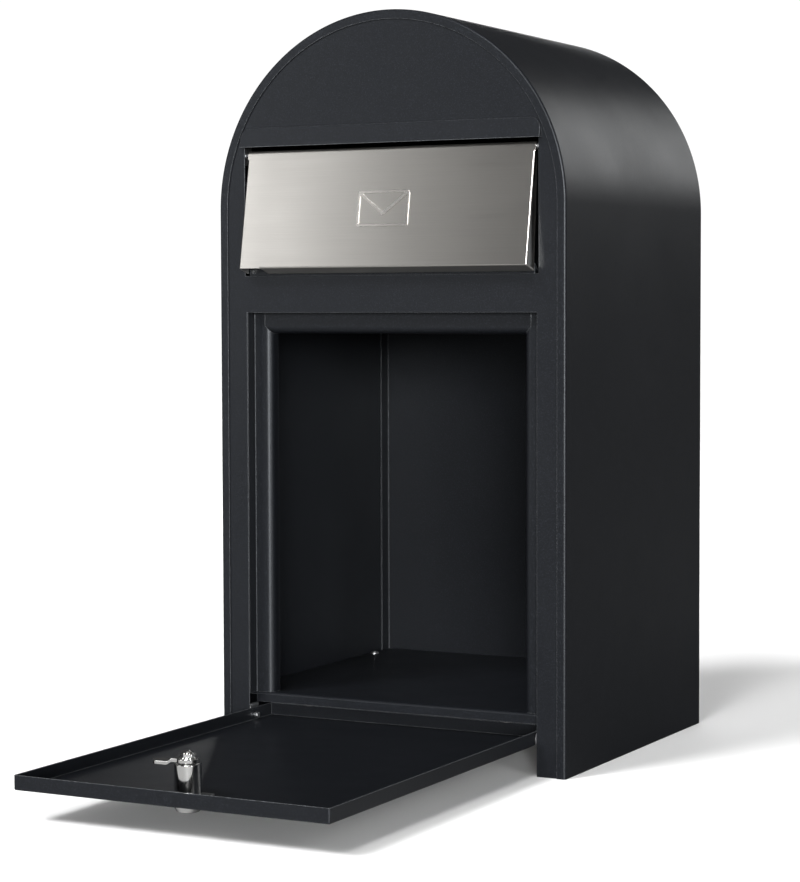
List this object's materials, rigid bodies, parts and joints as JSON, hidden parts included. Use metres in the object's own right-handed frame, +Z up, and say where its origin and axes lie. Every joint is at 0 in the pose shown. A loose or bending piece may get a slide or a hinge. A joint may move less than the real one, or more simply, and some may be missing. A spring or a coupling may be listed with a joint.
{
  "type": "parcel drop box",
  "caption": "Arch-topped steel parcel drop box with a drop-down front door, a cam lock, a hinged letter flap under a visor and a raised floor.",
  "frame": {"origin": "on the plane of the base, at the middle of the casing's footprint and of the four stand holes", "axes": "+Z up; the front with the door and the flap faces -Y; +Y out of the back, towards the wall; +X to the right seen from the front"},
  "size_m": [0.31, 0.6145, 0.6],
  "materials": {
    "casing_black": "fine-textured satin powder coat",
    "flap_stainless": "brushed along its length",
    "lock_chrome": "bright plated zinc",
    "zinc_steel": "zinc plated",
    "rubber_black": "matte",
    "nylon": "moulded"
  },
  "bodies": {
    "casing": {"casing_wrap": "casing_black", "back_panel": "casing_black", "front_panel": "casing_black", "rain_visor": "casing_black", "door_frame_left": "casing_black", "door_frame_right": "casing_black", "door_frame_top": "casing_black", "floor_pan": "casing_black", "floor_rail_left": "casing_black", "floor_rail_right": "casing_black", "slot_ramp": "casing_black", "floor_screws": "zinc_steel", "door_bracket_left": "zinc_steel", "door_bracket_right": "zinc_steel", "flap_bracket_left": "zinc_steel", "flap_bracket_right": "zinc_steel", "flap_rod": "zinc_steel", "door_bush_left": "nylon", "door_bush_right": "nylon", "flap_rod_caps": "nylon", "door_stop_pads": "rubber_black", "flap_buffers": "rubber_black"},
    "door": {"access_door": "casing_black", "door_hinge_pins": "zinc_steel", "lock_body": "lock_chrome", "lock_clip": "zinc_steel"},
    "lock_barrel": {"lock_plug": "lock_chrome", "lock_cam": "lock_chrome", "cam_nut": "lock_chrome"},
    "flap": {"mail_flap": "flap_stainless"}
  },
  "joints": [
    {"name": "door_hinge", "type": "hinge", "parent": "casing", "child": "door", "pos_m": [0, -0.139, 0.029], "axis": [-1, 0, 0], "range_deg": [0, 90]},
    {"name": "lock_turn", "type": "hinge", "parent": "door", "child": "lock_barrel", "pos_m": [0, -0.4415, 0.04], "axis": [0, 0, 1], "range_deg": [0, 90]},
    {"name": "flap_hinge", "type": "hinge", "parent": "casing", "child": "flap", "pos_m": [0, -0.13948, 0.489], "axis": [-1, 0, 0], "range_deg": [0, 70]}
  ]
}
